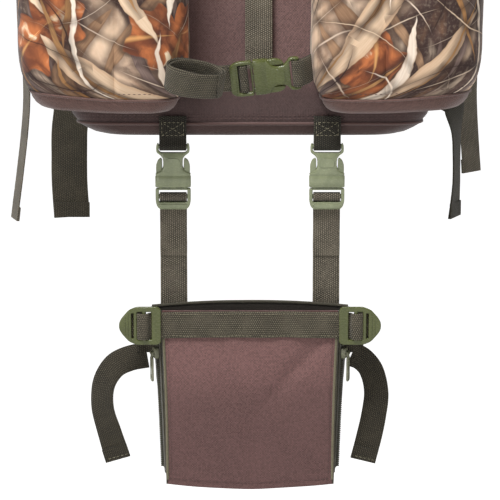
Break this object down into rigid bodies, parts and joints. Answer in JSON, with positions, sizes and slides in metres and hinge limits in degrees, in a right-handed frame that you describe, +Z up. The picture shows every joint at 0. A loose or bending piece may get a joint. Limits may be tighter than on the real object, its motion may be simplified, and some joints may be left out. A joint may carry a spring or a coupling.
{
  "type": "hunting backpack",
  "caption": "Hunting backpack with two front pockets, a gun channel with a buckled strap, a hooded lid and a zipped boot that hangs below on buckled straps.",
  "frame": {"origin": "centre of the lumbar pad's face, where the pack rests on the wearer's lower back", "axes": "+Y out of the back panel towards the wearer, -Y towards the front pockets, +Z up, +X to the right seen from the front"},
  "size_m": [0.4814, 0.376, 0.841],
  "materials": {
    "pack_fabric": "matte brown polyester with a soft brushed face",
    "camo_fabric": "matte polyester printed with a reed camouflage",
    "webbing": "flat woven olive-brown webbing",
    "olive_plastic": "moulded olive acetal, slightly glossy",
    "painted_zinc": "olive paint on die-cast zinc",
    "mesh_pad": "air mesh over closed-cell foam",
    "sheet_plastic": "polyethylene sheet",
    "zip_tape": "woven tape with a nylon coil",
    "lining": "coated lining fabric"
  },
  "bodies": {
    "pack": {"main_bag": "pack_fabric", "rim_binding": "webbing", "base_panel": "pack_fabric", "frame_sheet": "sheet_plastic", "back_pads": "mesh_pad", "lumbar_pad": "mesh_pad", "yoke": "pack_fabric", "haul_loop": "webbing", "pocket_left": "camo_fabric", "pocket_right": "camo_fabric", "pocket_bases": "pack_fabric", "pocket_zips": "zip_tape", "lid_lower_strap": "webbing", "lid_plug": "olive_plastic", "gun_strap_right": "webbing", "gun_socket": "olive_plastic", "belt_wings": "pack_fabric", "belt_strap_right": "webbing", "belt_socket": "olive_plastic", "belt_locks": "olive_plastic", "belt_tails": "webbing"},
    "lid": {"lid_hood": "camo_fabric", "lid_upper_strap": "webbing", "lid_socket": "olive_plastic"},
    "pocket_slider_left": {"pocket_slider_left": "painted_zinc"},
    "pocket_slider_right": {"pocket_slider_right": "painted_zinc"},
    "pocket_pull_left": {"pocket_pull_left": "painted_zinc"},
    "pocket_pull_right": {"pocket_pull_right": "painted_zinc"},
    "gun_strap": {"gun_plug": "olive_plastic", "gun_strap_coil": "webbing", "gun_strap_left": "webbing"},
    "boot_hanger": {"hanger_straps": "webbing", "boot_socket_left": "olive_plastic", "boot_socket_right": "olive_plastic"},
    "boot": {"boot_straps": "webbing", "boot_plug_left": "olive_plastic", "boot_plug_right": "olive_plastic", "boot_pouch": "pack_fabric", "boot_gussets": "lining", "boot_zips": "zip_tape", "boot_piping": "webbing", "boot_band": "webbing", "boot_tails": "webbing"},
    "boot_slider_left": {"boot_slider_left": "painted_zinc"},
    "boot_slider_right": {"boot_slider_right": "painted_zinc"},
    "boot_pull_left": {"boot_pull_left": "painted_zinc"},
    "boot_pull_right": {"boot_pull_right": "painted_zinc"},
    "ladder_lock_left": {"ladder_lock_left": "olive_plastic"},
    "ladder_lock_right": {"ladder_lock_right": "olive_plastic"},
    "shoulder_left": {"shoulder_pad_left": "pack_fabric", "shoulder_strap_left": "webbing", "shoulder_lock_left": "olive_plastic"},
    "shoulder_right": {"shoulder_pad_right": "pack_fabric", "shoulder_strap_right": "webbing", "shoulder_lock_right": "olive_plastic"},
    "belt_left": {"belt_plug": "olive_plastic", "belt_strap_left": "webbing"}
  },
  "joints": [
    {"name": "lid_hinge", "type": "hinge", "parent": "pack", "child": "lid", "pos_m": [0, -0.0125, 0.34], "axis": [-1, 0, 0], "range_deg": [0, 80]},
    {"name": "pocket_zip_left", "type": "slide", "parent": "pack", "child": "pocket_slider_left", "axis": [-1, 0, 0], "range_m": [0, 0.068]},
    {"name": "pocket_pull_left", "type": "hinge", "parent": "pocket_slider_left", "child": "pocket_pull_left", "pos_m": [-0.096, -0.2709, 0.204], "axis": [-1, 0, 0], "range_deg": [0, 150]},
    {"name": "pocket_zip_right", "type": "slide", "parent": "pack", "child": "pocket_slider_right", "axis": [1, 0, 0], "range_m": [0, 0.068]},
    {"name": "pocket_pull_right", "type": "hinge", "parent": "pocket_slider_right", "child": "pocket_pull_right", "pos_m": [0.096, -0.2709, 0.204], "axis": [-1, 0, 0], "range_deg": [0, 150]},
    {"name": "gun_release", "type": "slide", "parent": "pack", "child": "gun_strap", "axis": [-0.9945, 0, -0.1045], "range_m": [0, 0.032], "deforming": ["gun_strap_left"]},
    {"name": "boot_swing", "type": "hinge", "parent": "pack", "child": "boot_hanger", "pos_m": [0, -0.187, -0.072], "axis": [-1, 0, 0], "range_deg": [-8, 70]},
    {"name": "boot_release", "type": "slide", "parent": "boot_hanger", "child": "boot", "axis": [0, 0.0837, -0.9965], "range_m": [0, 0.035]},
    {"name": "boot_zip_left", "type": "slide", "parent": "boot", "child": "boot_slider_left", "axis": [0.0333, 0.0941, -0.995], "range_m": [0, 0.105]},
    {"name": "boot_pull_left", "type": "hinge", "parent": "boot_slider_left", "child": "boot_pull_left", "pos_m": [-0.09103, -0.20056, -0.29012], "axis": [-0.2998, 0.9506, 0.0798], "range_deg": [0, 120]},
    {"name": "boot_zip_right", "type": "slide", "parent": "boot", "child": "boot_slider_right", "axis": [-0.0333, 0.0941, -0.995], "range_m": [0, 0.105]},
    {"name": "boot_pull_right", "type": "hinge", "parent": "boot_slider_right", "child": "boot_pull_right", "pos_m": [0.09103, -0.20056, -0.29012], "axis": [-0.2998, -0.9506, -0.0798], "range_deg": [0, 120]},
    {"name": "ladder_lock_left", "type": "hinge", "parent": "boot", "child": "ladder_lock_left", "pos_m": [-0.0975, -0.2133, -0.26187], "axis": [0, -0.0837, 0.9965], "range_deg": [0, 12], "deforming": ["boot_band"]},
    {"name": "ladder_lock_right", "type": "hinge", "parent": "boot", "child": "ladder_lock_right", "pos_m": [0.0975, -0.2133, -0.26187], "axis": [0, 0.0837, -0.9965], "range_deg": [0, 12], "deforming": ["boot_band"]},
    {"name": "shoulder_swing_left", "type": "hinge", "parent": "pack", "child": "shoulder_left", "pos_m": [-0.062, -0.0018, 0.317], "axis": [0.2334, 0.0057, 0.9724], "range_deg": [-10, 22]},
    {"name": "shoulder_swing_right", "type": "hinge", "parent": "pack", "child": "shoulder_right", "pos_m": [0.062, -0.0018, 0.317], "axis": [0.2334, -0.0057, -0.9724], "range_deg": [-10, 22]},
    {"name": "belt_release", "type": "slide", "parent": "pack", "child": "belt_left", "axis": [-1, 0, 0], "range_m": [0, 0.032], "deforming": ["belt_strap_left"]}
  ]
}
